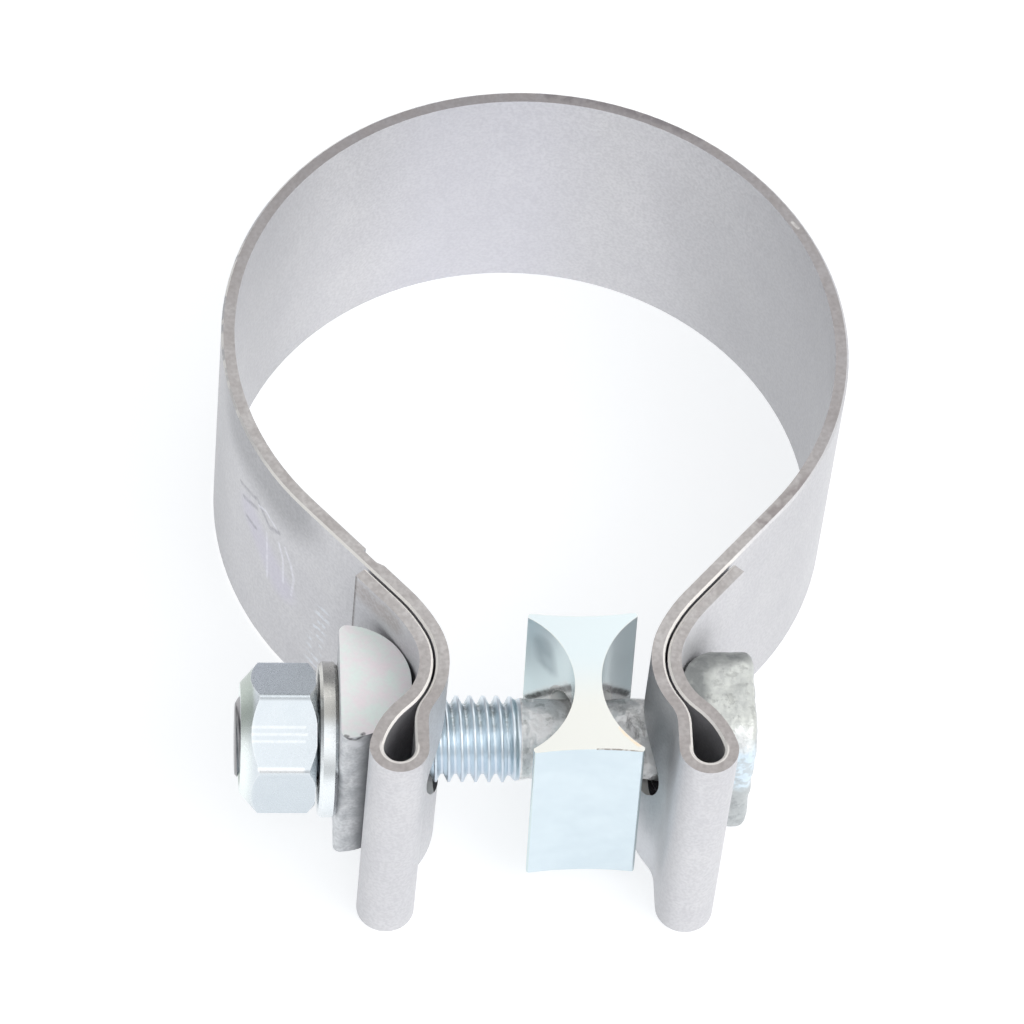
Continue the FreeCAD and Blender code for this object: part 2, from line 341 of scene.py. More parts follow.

# %% [markdown]
# Edges are found with a Bevel node: near an edge it turns the normal away from the flat one, and the angle between
# the two is a mask. It needs no extra geometry, which suits solids with large flat faces.

# %% Edge wear and highlight
def build_edge_wear_and_highlight():
    tree, given, made = new_group("edge_wear_and_highlight", {"Width": 0.3, "Breakup": 0.5, "Breakup Size": 0.8}, ["Wear"])
    rounded = put(tree, "ShaderNodeBevel", {"Radius": product(tree, given["Width"], MM)}, samples=4).outputs[0]
    flat = put(tree, "ShaderNodeNewGeometry").outputs["True Normal"]
    turned = put(tree, "ShaderNodeVectorMath", {0: rounded, 1: flat}, operation="DOT_PRODUCT").outputs["Value"]
    edge = step_between(tree, turned, 0.995, 0.85)
    patches = step_between(tree, noise_at(tree, place_on(tree), given["Breakup Size"], 3.0), 0.4, 0.6)
    kept = remainder(tree, product(tree, given["Breakup"], patches))
    tree.links.new(product(tree, edge, kept), made["Wear"])
    return tree


edge_wear_and_highlight = build_edge_wear_and_highlight()

# %% [markdown]
# Scratches, dents and dark scale lie at known places. Each is a line mark: everything close to the stretch between
# two points, given in millimetres on the piece.

# %% Line mark
def build_line_mark():
    inputs = {"Start": (0.0, 0.0, 0.0), "End": (1.0, 0.0, 0.0), "Width": 0.3}
    tree, given, made = new_group("line_mark", inputs, ["Mark"])

    def vector(operation, first, second, output="Vector"):
        return put(tree, "ShaderNodeVectorMath", {0: first, 1: second}, operation=operation).outputs[output]

    def scaled(value, factor):
        return put(tree, "ShaderNodeVectorMath", {0: value, "Scale": factor}, operation="SCALE").outputs[0]

    from_start = vector("SUBTRACT", scaled(place_on(tree), 1 / MM), given["Start"])
    whole = vector("SUBTRACT", given["End"], given["Start"])
    reach = vector("DOT_PRODUCT", from_start, whole, "Value")
    share = maths(tree, "DIVIDE", reach, vector("DOT_PRODUCT", whole, whole, "Value"), clamp=True)
    away = vector("DISTANCE", from_start, scaled(whole, share), "Value")
    tree.links.new(step_between(tree, maths(tree, "DIVIDE", away, given["Width"]), 1.0, 0.25), made["Mark"])
    return tree


line_mark = build_line_mark()

# %% [markdown]
# A path of several points is made of several line marks. One noise breaks them all up, as a real scratch skips over
# the low spots of a surface.

# %% Marks along paths
def marks_along(tree, paths, width, breakup=0.4, size=0.5):
    """One mask for several paths, each a list of points in millimetres."""
    mask = 0.0
    for path in paths:
        for start, end in zip(path, path[1:]):
            mark = use_group(tree, line_mark, Start=start, End=end, Width=width)["Mark"]
            mask = maths(tree, "MAXIMUM", mask, mark)
    patches = step_between(tree, noise_at(tree, place_on(tree), size, 2.0), 0.42, 0.6)
    return product(tree, mask, remainder(tree, product(tree, breakup, patches)))


print("groups now:", len(bpy.data.node_groups))

# %% [markdown]
# ## The finishes
#
# Each finish starts from one Principled shader. `new_finish` makes it with the numbers that stay the same all over
# the surface, and the tree that follows feeds its colour, roughness and bump. Where a finish changes over a piece,
# its masks come from the place on the piece or from the way the surface faces, which both stay with the piece.

# %% Start a finish and dress a piece
def new_finish(name, roughness, metallic=1.0):
    material = bpy.data.materials.new(name)
    material.use_nodes = True
    surface = material.node_tree.nodes["Principled BSDF"]
    surface.inputs["Roughness"].default_value = roughness
    surface.inputs["Metallic"].default_value = metallic
    return material, material.node_tree, surface


def axes_on(tree):
    return put(tree, "ShaderNodeSeparateXYZ", {0: place_on(tree)}).outputs


def along(tree, axis):
    """Place along one axis of the piece: 0 for x, 1 for y, 2 for z."""
    return axes_on(tree)[axis]


def facing(tree, direction):
    """How far the surface turns towards a direction on the piece, from -1 to 1."""
    normal = put(tree, "ShaderNodeTexCoord").outputs["Normal"]
    inputs = {0: normal, 1: Vector(direction).normalized()}
    return put(tree, "ShaderNodeVectorMath", inputs, operation="DOT_PRODUCT").outputs["Value"]


def add_bump(tree, surface, height, depth, strength):
    """Bump whose full height is a depth in millimetres."""
    bump = put(tree, "ShaderNodeBump", {"Height": height, "Distance": depth * MM, "Strength": strength})
    tree.links.new(bump.outputs[0], surface.inputs["Normal"])


def dress(piece, material):
    piece.data.materials.clear()
    piece.data.materials.append(material)
    print("dressed", piece.name, "in", material.name)


print("pieces to dress:", len(pieces))

# %% [markdown]
# ### Aluminised strip
#
# The faces of the strip have a matt grey coat, which is scratched and dented outside on the left flank. The paths
# below follow the marks one by one: short dents with their shade painted dark along them, scribed strokes with a
# loop, a bundle of short strokes near the nut, and the end of the lap, bare steel with its shadow painted as a dark
# line, beside a rubbed patch. A painted shade and a painted gleam lie on the flank too. Each kind has its own width,
# breakup, strength and tone.

# %% Marks on the left flank
DENTS = [
    [(-33.3, -12.9, 6.3), (-32.1, -15.6, 7.6), (-31.5, -16.8, 8.3), (-30.1, -19.2, 6.2)],
    [(-32.9, -13.8, 4.7), (-31.5, -16.7, 6.5)],
    [(-32.5, -14.7, 2.1), (-31.5, -16.7, 2.6)],
    [(-30.1, -19.2, 6.2), (-29.1, -20.6, 7.3)],
]
SCRIBED = [
    [(-31.3, -17.1, 7.6), (-30.6, -18.4, 8.3), (-29.4, -20.3, 7.4)],
    [(-30.4, -18.8, 4.5), (-30.1, -19.2, -3.7)],
    [(-29.1, -20.7, 5.4), (-28.5, -21.4, 3.0), (-28.4, -21.6, -1.1)],
    [(-28.4, -21.6, 5.7), (-27.7, -22.5, 3.7), (-27.3, -23.0, 1.4), (-27.5, -22.8, -2.0)],
]
FLANK_SHADE = [[(-33.7, -11.9, 15.4), (-30.8, -18.0, 15.4), (-28.8, -21.1, 14.8)]]
FLANK_GLEAM = [[(-32.2, -15.4, 3.8), (-28.6, -21.3, -2.0)]]
LAP_PATCH = [[(-20.4, -33.6, 14.6), (-17.0, -37.2, 14.6)]]
LAP_EDGE_SHADOW = [[(-21.2, -32.7, 17.0), (-21.2, -32.7, -16.6)]]
# Columns: path, width in mm, breakup, strength, tone. The dents' dark tone is their painted shade.
FLANK_MARKS = [
    (FLANK_SHADE, 8.5, 0.1, 0.8, (158, 158, 161)),
    (FLANK_GLEAM, 3.5, 0.1, 0.6, (214, 210, 226)),
    (DENTS, 0.45, 0.4, 0.6, (152, 151, 160)),
    (SCRIBED, 0.32, 0.5, 0.7, (243, 242, 250)),
]
# The dark tone at the lap's edge is the painted shadow of the lap's end, on bare steel.
LAP_MARKS = [(LAP_PATCH, 2.6, 0.4, 0.7, (178, 168, 164)), (LAP_EDGE_SHADOW, 0.45, 0.2, 0.9, (124, 116, 114))]
print(len(DENTS), "dents and", len(SCRIBED), "scribed strokes")

# %% [markdown]
# The bundle could be one mark for each stroke. Instead its strokes are the bands of a Wave texture, bent a little by
# its distortion, which needs far fewer nodes. At a scale of 1 the bands repeat every tau / 20 metres, which gives the
# scale for a step in millimetres. A wide, patchy mark along the bundle cuts the bands off at its sides.

# %% Bundle of short strokes
BUNDLE = [[(-24.0, -26.8, 0.2), (-24.6, -26.1, -5.5), (-24.8, -25.9, -11.0)]]
BUNDLE_WIDTH = 1.7
BUNDLE_STEP = 1.5
BUNDLE_TONE, BUNDLE_STRENGTH = (240, 245, 252), 0.65
WAVE_SCALE = math.tau / 20 / (BUNDLE_STEP * MM)


def scribed_bundle(tree):
    inputs = {"Vector": place_on(tree), "Scale": WAVE_SCALE, "Distortion": 2.5, "Detail": 1.0}
    strokes = put(tree, "ShaderNodeTexWave", inputs, bands_direction="Z").outputs["Fac"]
    reach = marks_along(tree, BUNDLE, BUNDLE_WIDTH, 1.0, 0.8)
    return product(tree, step_between(tree, strokes, 0.5, 0.85), reach)


print("one stroke every", BUNDLE_STEP, "mm")

# %% [markdown]
# Some light in the photograph comes from its own room and can't come from an even studio: the far wall gleams in the
# middle and is darker to the right, and walls that face left are darker. Lamps and screens for each would show in
# the plated pieces too, so broad, soft tones in the coat stand for that light.

# %% Broad tones of the coat
THROAT_LIGHT = [[(13.1, -49.8, -2.0), (12.4, -48.6, -14.0)]]
FAR_GLEAM = [[(-4.5, 33.9, 14.0), (-4.5, 33.9, -14.0)]]
FAR_SHADE = [[(20.1, 27.7, 5.0), (24.7, 23.7, -9.0)]]
COAT_SHADE = (178, 178, 180)
RIGHT_WALL_X, LEFT_WALL_X, RIGHT_SIDE_X = (3 * MM, 20 * MM), (-8 * MM, -20 * MM), (15 * MM, 30 * MM)
LEFT_BEND_X, LEFT_BEND_Y = (-20 * MM, -31 * MM), (-14 * MM, -4 * MM)


def broad_tones(tree, place):
    """Masks of the soft tones, with their strengths and tones: those under the marks, then those over them."""
    leftward = facing(tree, (-1, 0, 0))
    inside = step_between(tree, facing(tree, (0, -1, 0)), 0.0, 0.3)
    under = [
        (marks_along(tree, THROAT_LIGHT, 5.5, 0.1), 0.9, (244, 246, 250)),
        (product(tree, inside, marks_along(tree, FAR_GLEAM, 17.0, 0.1)), 0.4, (228, 227, 236)),
        (product(tree, inside, marks_along(tree, FAR_SHADE, 9.0, 0.1)), 0.18, (188, 187, 189)),
    ]
    walls = step_between(tree, leftward, 0.3, 1.0)
    right_wall = product(tree, walls, step_between(tree, place[0], *RIGHT_WALL_X))
    left_wall = product(tree, walls, step_between(tree, place[0], *LEFT_WALL_X))
    outer_side = step_between(tree, leftward, -0.3, -0.9)
    right_side = product(tree, outer_side, step_between(tree, place[0], *RIGHT_SIDE_X))
    left_bend = step_between(tree, place[0], *LEFT_BEND_X)
    left_bend = product(tree, left_bend, step_between(tree, place[1], *LEFT_BEND_Y))
    shaded = ((right_wall, 0.66), (left_wall, 0.25), (right_side, 0.28), (left_bend, 0.45))
    return under, [(mask, strength, COAT_SHADE) for mask, strength in shaded]


print("coat shaded towards", COAT_SHADE)

# %% [markdown]
# The coat itself is two close greys in clouds, with a fine grain. Each mark of the flank is a place in space, and
# the strip is thin, so a mark would also show on the inner side. Hence all of them are cut off where the surface
# doesn't face left.

# %% Colour of the coat
COAT_DARK, COAT_LIGHT = colour(216, 215, 218), colour(222, 221, 223)
GRAIN_GREY = (194, 193, 196)


def outside_left(tree):
    return step_between(tree, facing(tree, (-1, 0, 0)), 0.0, 0.3)


def marked(tree, group):
    """Masks of a group of marks, with their strengths and tones."""
    return [(marks_along(tree, path, width, breakup), strength, tone)
            for path, width, breakup, strength, tone in group]


def coat_colour(tree, place, marks):
    coat = mix_colour(tree, marks["Clouds"], COAT_DARK, COAT_LIGHT)
    coat = tint(tree, coat, marks["Grain"], GRAIN_GREY, 0.3)
    under, over = broad_tones(tree, place)
    outside = outside_left(tree)
    bundle = (scribed_bundle(tree), BUNDLE_STRENGTH, BUNDLE_TONE)
    on_flank = [*marked(tree, FLANK_MARKS), bundle, *marked(tree, LAP_MARKS)]
    painted = [(product(tree, mask, outside), strength, tone) for mask, strength, tone in on_flank]
    for mask, strength, tone in under + painted + over:
        coat = tint(tree, coat, mask, tone, strength)
    return coat


print("marks on the flank:", len(FLANK_MARKS + LAP_MARKS), "kinds and the bundle")

# %% [markdown]
# The rims were slit from a wide sheet after coating, so they show bare steel, warmer and darker, and darkest round
# the far side. A few stretches are scaled or torn, and two short ones are rubbed bright.

# %% Colour of the bare rims
RIM_HEIGHT = 16.65
FAR_STEEL, NEAR_STEEL = colour(166, 162, 164), colour(212, 208, 206)
LOOP_STEEL, RIGHT_STEEL = (188, 182, 180), (178, 174, 175)
CLOUD_STEEL, GRAIN_STEEL = (164, 156, 153), (150, 144, 142)
FAR_TO_NEAR_Y, LOOP_RIM_Y, RIGHT_RIM_X = (35 * MM, -18 * MM), (-40 * MM, -50 * MM), (26 * MM, 33 * MM)


def on_rim(*points):
    return [(x, y, RIM_HEIGHT) for x, y in points]


DARK_RIM = [on_rim((3.1, 35.4), (9.2, 34.4), (15.1, 32.2), (20.0, 29.4))]
TORN_RIM = [on_rim((24.6, -25.2), (30.0, -19.4))]
LIGHT_RIM = [on_rim((30.0, -19.2), (31.1, -17.4), (34.1, -12.3)), on_rim((30.3, 16.9), (30.9, 16.1))]


def bare_colour(tree, place, rubbed):
    bare = mix_colour(tree, step_between(tree, place[1], *FAR_TO_NEAR_Y), FAR_STEEL, NEAR_STEEL)
    bare = tint(tree, bare, step_between(tree, place[1], *LOOP_RIM_Y), LOOP_STEEL, 0.7)
    bare = tint(tree, bare, step_between(tree, place[0], *RIGHT_RIM_X), RIGHT_STEEL, 0.75)
    bare = tint(tree, bare, rubbed["Clouds"], CLOUD_STEEL, 0.4)
    bare = tint(tree, bare, rubbed["Grain"], GRAIN_STEEL, 0.3)
    bare = tint(tree, bare, marks_along(tree, DARK_RIM, 1.3, 0.7, 1.2), (142, 137, 139))
    bare = tint(tree, bare, marks_along(tree, TORN_RIM, 1.5, 0.6, 1.2), (166, 159, 158))
    return tint(tree, bare, marks_along(tree, LIGHT_RIM, 0.3, 0.5), (218, 215, 212))


print("rims at", RIM_HEIGHT, "mm above and below the middle")

# %% [markdown]
# The slitting knife rolled the cut corner over into a burr beside the rim, and its highlight is painted on it as a
# thin, near-white line with less metal in it. It is whole along the folds, weaker on the left flank, patchy round the
# far side and nearly gone from the right flank. Round the front of the loops' openings it is thickest, so a ring of
# painted highlight is added there. The holes' walls are bare steel, with a painted shadow where the gap between the
# layers is dark.

# %% Burr, loops and holes
BURR_HIGHLIGHT_TONE, HOLE_TONE = (244, 240, 235), (58, 54, 58)
LOOP_CENTRE = (16.88 * MM, 55.1 * MM, RIM_HEIGHT * MM)
LOOP_RADIUS = 2.0 * MM
RING_EDGE, LOOP_FRONT_Y = (0.25 * MM, 0.1 * MM), (54 * MM, 55.2 * MM)
HOLE_RADIUS = 6.55 * MM
LEFT_INSIDE, RIGHT_INSIDE = -11.8 * MM, 12.45 * MM
LEFT_FLANK_Y, FOLD_Y, LOOP_Y = (4 * MM, -12 * MM), (-14 * MM, -20 * MM), (-38 * MM, -42 * MM)
RIGHT_FLANK_X = (19 * MM, 24 * MM)


def burr_highlight_mask(tree, place, rubbed, corner, rim):
    """Painted highlight of the burr on the corners, as far as it is left in each part of the strip."""
    weaker = step_between(tree, place[1], *LEFT_FLANK_Y, 0.0, 0.6)
    whole = maths(tree, "ADD", weaker, step_between(tree, place[1], *FOLD_Y, 0.0, 0.4))
    patchy = step_between(tree, rubbed["Clouds"], 0.35, 0.65, 0.1, 0.8)
    right_flank = step_between(tree, place[0], *RIGHT_FLANK_X, 1.0, 0.12)
    kept = maths(tree, "MAXIMUM", right_flank, step_between(tree, place[1], *LOOP_Y, 0.0, 0.8))
    return product(tree, corner, maths(tree, "MAXIMUM", patchy, whole), remainder(tree, rim), kept)


def loop_highlight_ring(tree):
    """Ring of painted highlight round the front of both loops' openings, at the upper and the lower rim."""
    mirrored = put(tree, "ShaderNodeVectorMath", {0: place_on(tree)}, operation="ABSOLUTE").outputs[0]
    away = put(tree, "ShaderNodeVectorMath", {0: mirrored, 1: LOOP_CENTRE}, operation="DISTANCE").outputs["Value"]
    off_ring = maths(tree, "ABSOLUTE", maths(tree, "SUBTRACT", away, LOOP_RADIUS))
    forward = put(tree, "ShaderNodeSeparateXYZ", {0: mirrored}).outputs[1]
    front = step_between(tree, forward, *LOOP_FRONT_Y)
    return product(tree, step_between(tree, off_ring, *RING_EDGE), front)


def hole_shade(tree, place):
    """Painted shadow on the walls of the flange holes, on the side where the gap between the two layers is dark."""
    from_bolt = maths(tree, "SUBTRACT", place[1], BOLT_Y)
    squared = maths(tree, "ADD", product(tree, from_bolt, from_bolt), product(tree, place[2], place[2]))
    hole = maths(tree, "LESS_THAN", squared, HOLE_RADIUS * HOLE_RADIUS)
    left = maths(tree, "GREATER_THAN", place[0], LEFT_INSIDE)
    left = product(tree, left, maths(tree, "LESS_THAN", place[0], 0.0))
    return product(tree, hole, maths(tree, "ADD", left, maths(tree, "GREATER_THAN", place[0], RIGHT_INSIDE)))


print("loops at", round(LOOP_CENTRE[0] / MM, 2), "mm left and right of the middle")

# %% [markdown]
# The parts of the strip could be told apart by giving its faces different materials. The slope of the normal does it
# in one material: it stands upright on a rim, lies level on a face and leans on the corner between them.

# %% Dress the band
def strip_finish():
    material, tree, surface = new_finish("aluminised_strip", 0.5)
    place = axes_on(tree)
    upright = maths(tree, "ABSOLUTE", facing(tree, (0, 0, 1)))
    rim = step_between(tree, upright, 0.93, 0.99)
    corner = step_between(tree, upright, 0.05, 0.2)
    marks = use_group(tree, clouds_and_grain, Cloud_Size=7.0, Grain_Size=0.35, Contrast=1.1)
    rubbed = use_group(tree, clouds_and_grain, Cloud_Size=2.5, Grain_Size=0.5, Contrast=1.2)
    burr_highlight = burr_highlight_mask(tree, place, rubbed, corner, rim)
    base = tint(tree, coat_colour(tree, place, marks), burr_highlight, BURR_HIGHLIGHT_TONE)
    base = mix_colour(tree, rim, base, bare_colour(tree, place, rubbed))
    base = tint(tree, base, loop_highlight_ring(tree), BURR_HIGHLIGHT_TONE, 0.85)
    base = tint(tree, base, hole_shade(tree, place), HOLE_TONE)
    tree.links.new(base, surface.inputs["Base Color"])
    # Less metal under the painted burr highlight keeps it bright.
    tree.links.new(maths(tree, "SUBTRACT", 0.88, product(tree, burr_highlight, 0.7)), surface.inputs["Metallic"])
    tree.links.new(step_between(tree, marks["Grain"], 0.0, 1.0, 0.44, 0.56), surface.inputs["Roughness"])
    dents = product(tree, marks_along(tree, DENTS, 0.42, 0.3), outside_left(tree))
    add_bump(tree, surface, maths(tree, "SUBTRACT", product(tree, marks["Grain"], 0.1), dents), 0.1, 0.8)
    return material


dress(pieces["band"], strip_finish())

# %% [markdown]
# ### Zinc plate
#
# The nut, the washer and the bolt's thread have a bright, faintly blue zinc plate. Three separate finishes would
# repeat its clouds and grain, so one finish serves all three, and each passes it a function that adds its own detail
# to the colour.

# %% Zinc finish
ZINC_LIGHT, ZINC_DARK = colour(230, 238, 243), colour(216, 226, 233)
GRAIN_DEPTH = 0.004


def zinc_finish(name, roughness, detail):
    material, tree, surface = new_finish(name, roughness)
    marks = use_group(tree, clouds_and_grain, Cloud_Size=3.0, Grain_Size=0.2, Contrast=0.9)
    base = mix_colour(tree, marks["Clouds"], ZINC_DARK, ZINC_LIGHT)
    tree.links.new(detail(tree, base), surface.inputs["Base Color"])
    varied = step_between(tree, marks["Grain"], 0.0, 1.0, roughness - 0.04, roughness + 0.05)
    tree.links.new(varied, surface.inputs["Roughness"])
    add_bump(tree, surface, marks["Grain"], GRAIN_DEPTH, 0.15)
    return material


def worn_and_highlit_edges(tree, base, tone, amount):
    """Rubs the edges towards a tone, with gaps: wear, and a painted highlight along them."""
    worn_and_lit = use_group(tree, edge_wear_and_highlight, Width=0.25, Breakup=0.5, Breakup_Size=0.7)["Wear"]
    return tint(tree, base, worn_and_lit, tone, amount)


print("grain of the plate", GRAIN_DEPTH, "mm deep")

# %% [markdown]
# The nut's upper flat is the brightest, by painted light, with three painted highlight lines across it and a painted
# gleam along its lower edge. The flat under it is duller, by painted shade. The chamfered, open end is pale, partly
# by painted light, and darker and greener on its upper corner.

# %% Dress the nut
NUT_HIGHLIGHT_LINES = [
    [(-32.6, -46.0, 6.31), (-26.6, -46.0, 6.31)],
    [(-33.0, -46.7, 5.94), (-26.4, -46.7, 5.94)],
    [(-32.6, -47.4, 5.57), (-26.6, -47.4, 5.57)],
]
NUT_GLEAM = [[(-32.3, -50.2, 4.0), (-26.9, -50.2, 4.0)]]
NUT_FACE_END, NUT_CORNER_END, NUT_END = -31.9 * MM, -32.5 * MM, -33.3 * MM


def nut_detail(tree, base):
    lit_upper_flat = step_between(tree, facing(tree, (0, 0.5, 0.87)), 0.75, 0.95)
    shaded_lower_flat = step_between(tree, facing(tree, (0, 0, 1)), 0.35, -0.1)
    lit_open_end = step_between(tree, along(tree, 0), NUT_FACE_END, NUT_END)
    upper_corner = step_between(tree, facing(tree, (-0.7, 0.2, 0.68)), 0.78, 0.97)
    darker_corner = product(tree, upper_corner, step_between(tree, along(tree, 0), NUT_FACE_END, NUT_CORNER_END))
    lines = product(tree, marks_along(tree, NUT_HIGHLIGHT_LINES, 0.26, 0.3), 0.4)
    base = tint(tree, base, 0.6, (212, 216, 219))
    # Painted light on the upper flat and the open end, painted shade on the lower flat.
    base = tint(tree, base, lit_upper_flat, (238, 246, 251), 0.8)
    base = tint(tree, base, shaded_lower_flat, (203, 212, 219), 0.5)
    base = tint(tree, base, lit_open_end, (246, 252, 249), 0.9)
    base = tint(tree, base, darker_corner, (172, 181, 172), 0.85)
    base = tint(tree, base, maths(tree, "MAXIMUM", lines, marks_along(tree, NUT_GLEAM, 0.5, 0.1)), (255, 255, 255))
    return worn_and_highlit_edges(tree, base, (252, 253, 255), 0.7)


dress(pieces["hex_nut"], zinc_finish("nut_zinc", 0.3, nut_detail))

# %% [markdown]
# The washer is silvery, but darker and brownish towards its upper side, a painted shadow of the nut. One soft step
# along the washer stands for that, because it is too even for a mark.

# %% Dress the washer
WASHER_FRONT_Y, WASHER_SHADOW_Y = (-49 * MM, -53 * MM), (-46.9 * MM, -44.9 * MM)


def washer_detail(tree, base):
    silvery = step_between(tree, along(tree, 1), *WASHER_FRONT_Y, 0.6, 0.35)
    base = tint(tree, base, silvery, (252, 252, 250))
    # Painted shadow of the nut on the washer's upper side.
    base = tint(tree, base, step_between(tree, along(tree, 1), *WASHER_SHADOW_Y), (200, 196, 188), 0.75)
    return worn_and_highlit_edges(tree, base, (250, 251, 253), 0.5)


dress(pieces["washer"], zinc_finish("washer_zinc", 0.3, washer_detail))

# %% [markdown]
# ### Reaction block
#
# The block's hollow sides mirror the bolt as a dark arc with a mottled grey field under it. An even studio can't give
# that image, so the arc and the field are marks in the plate, laid along the hollow. The walls of the block's hole
# share the field's tone. They are found by their distance from the bolt's axis.

# %% Image of the bolt in the block
BOLT_IMAGE = [
    [(-0.8, -35.0, -4.3), (0.8, -36.6, -0.9), (2.2, -38.7, 2.9), (3.0, -41.3, 7.4)],
    [(6.9, -40.8, 6.8), (7.0, -39.4, 4.5), (8.2, -37.2, 0.7), (9.7, -35.6, -2.1), (10.3, -34.9, -3.4)],
]
FIELD_SHIFT = (0, 0, -2.0)
BLOCK_HOLE_EDGE = (6.06 * MM, 6.02 * MM)


def moved(paths, shift):
    return [[tuple(a + b for a, b in zip(point, shift)) for point in path] for path in paths]


def from_bolt_axis(tree):
    """Distance from the bolt's axis, which the motions of bolt and block don't change."""
    inputs = {0: place_on(tree), 1: (0.0, 1.0, 1.0), 2: (0.0, -BOLT_Y, -BOLT_Z)}
    across = put(tree, "ShaderNodeVectorMath", inputs, operation="MULTIPLY_ADD").outputs[0]
    return put(tree, "ShaderNodeVectorMath", {0: across}, operation="LENGTH").outputs["Value"]


def grey_field(tree):
    field = marks_along(tree, moved(BOLT_IMAGE, FIELD_SHIFT), 2.3, 0.25, 0.8)
    return maths(tree, "MAXIMUM", field, step_between(tree, from_bolt_axis(tree), *BLOCK_HOLE_EDGE))


print("image of the bolt in", len(BOLT_IMAGE), "hollow sides")

# %% [markdown]
# The block has a silky plate that is ivory on top towards the front and pale blue elsewhere. Its hollow sides are a
# little darker, a painted shade, with a deeper painted shade high in the hollow. Its edges are rubbed light, which
# also serves as a painted highlight, with a little rust and a dark line at the front corner of the top.

# %% Colour of the block
IVORY_Y = (-39 * MM, -47 * MM)
BLOCK_SHADE = [[(0.2, -36.1, 8.0), (0.7, -36.6, 5.2)]]
BLOCK_RUST = [[(7.9, -49.3, 11.7), (8.4, -50.1, 11.7), (9.8, -51.6, 11.8)]]
BLOCK_DARK_EDGE = [[(5.2, -52.1, 11.6), (7.5, -52.2, 11.7), (10.0, -52.5, 11.8)]]


def block_colour(tree, clouds, field):
    top = step_between(tree, facing(tree, (0, 0, 1)), 0.5, 0.9)
    hollow_shade = step_between(tree, maths(tree, "ABSOLUTE", facing(tree, (1, 0, 0))), 0.3, 0.55)
    ivory = step_between(tree, along(tree, 1), *IVORY_Y, 0.1, 1.0)
    base = mix_colour(tree, clouds, colour(213, 226, 233), colour(222, 234, 240))
    base = mix_colour(tree, top, base, mix_colour(tree, ivory, colour(223, 234, 237), colour(233, 233, 227)))
    # Painted shade on the hollow sides, then a deeper painted shade high in the hollow.
    base = tint(tree, base, hollow_shade, (210, 225, 227))
    base = tint(tree, base, marks_along(tree, BLOCK_SHADE, 2.4, 0.2, 2.0), (150, 166, 172), 0.6)
    base = tint(tree, base, field, (216, 216, 213))
    base = tint(tree, base, marks_along(tree, BOLT_IMAGE, 0.62, 0.2, 0.8), (34, 44, 41))
    base = tint(tree, base, marks_along(tree, BLOCK_RUST, 0.45), (250, 226, 190), 0.7)
    base = worn_and_highlit_edges(tree, base, (240, 238, 228), 0.6)
    return tint(tree, base, marks_along(tree, BLOCK_DARK_EDGE, 0.2, 0.6), (152, 144, 138))


print("ivory begins at y", round(IVORY_Y[0] / MM), "mm")

# %% [markdown]
# The grey field is less of a metal than the rest of the plate, so that it stays as dark as it is painted, whatever
# it mirrors.

# %% Dress the block
def block_finish():
    material, tree, surface = new_finish("block_plate", 0.25)
    marks = use_group(tree, clouds_and_grain, Cloud_Size=5.0, Grain_Size=0.25, Contrast=0.9)
    field = grey_field(tree)
    tree.links.new(block_colour(tree, marks["Clouds"], field), surface.inputs["Base Color"])
    tree.links.new(step_between(tree, field, 0.0, 1.0, 1.0, 0.3), surface.inputs["Metallic"])
    add_bump(tree, surface, marks["Grain"], GRAIN_DEPTH, 0.3)
    return material


dress(pieces["reaction_block"], block_finish())

# %% [markdown]
# ### Half-round bar
#
# The bar is cut from drawn stock. Its top is a cut end, nearly white, drifting between pink and green, and torn at
# the front. Its side is the drawn face, grey and cloudy, with a painted shade towards the flange.

# %% Dress the bar
BAR_TEAR = [[(-22.4, -50.2, 11.1), (-21.9, -50.3, 10.8), (-21.3, -50.3, 10.5), (-20.4, -49.9, 11.1)]]
BAR_CHIP = [[(-21.6, -50.4, 9.9), (-21.0, -50.3, 9.4)]]
BAR_SHADE_X = (-21.5 * MM, -19.0 * MM)


def bar_finish():
    material, tree, surface = new_finish("bar_plate", 0.5, metallic=0.1)
    marks = use_group(tree, clouds_and_grain, Cloud_Size=2.2, Grain_Size=0.4, Contrast=1.3)
    side = mix_colour(tree, marks["Clouds"], colour(204, 207, 210), colour(246, 247, 249))
    side = tint(tree, side, marks["Grain"], (150, 152, 155), 0.3)
    side = tint(tree, side, step_between(tree, along(tree, 0), *BAR_SHADE_X), (100, 102, 106), 0.95)
    flat = mix_colour(tree, marks["Clouds"], colour(244, 255, 249), colour(255, 245, 248))
    flat = tint(tree, flat, marks["Grain"], (240, 236, 237), 0.2)
    base = mix_colour(tree, step_between(tree, facing(tree, (0, 0, 1)), 0.5, 0.9), side, flat)
    base = tint(tree, base, marks_along(tree, BAR_TEAR, 0.32, 0.3), (84, 84, 86))
    base = tint(tree, base, marks_along(tree, BAR_CHIP, 0.9, 0.3), (232, 233, 236))
    tree.links.new(base, surface.inputs["Base Color"])
    add_bump(tree, surface, marks["Grain"], 0.01, 0.4)
    return material


dress(pieces["half_round_bar"], bar_finish())

# %% [markdown]
# ## The tee bolt
#
# The solid of the bolt is a plain rod with its forged head. The thread could be bump on the rod, but it shows
# against the light between the flanges, so it has to be real. A thread is a radius that depends on two things
# only: how far along the rod a point is, and how far round. So the rod becomes a grid of rings, and each point's
# radius comes from where it lies in the pitch. The thread runs out at the shank and is cut by a cone at the end.

# %% Shape of the thread
PITCH = 1.5 * MM
THREAD_RADIUS = 4.85 * MM
THREAD_DEPTH = 0.92 * MM
THREAD_START = -9.59 * MM
THREAD_STOP = -2.4 * MM
CREST_SHARE, ROOT_SHARE = 0.18, 0.2
SHANK_RADIUS = 4.6 * MM
END_RADIUS = 4.1 * MM


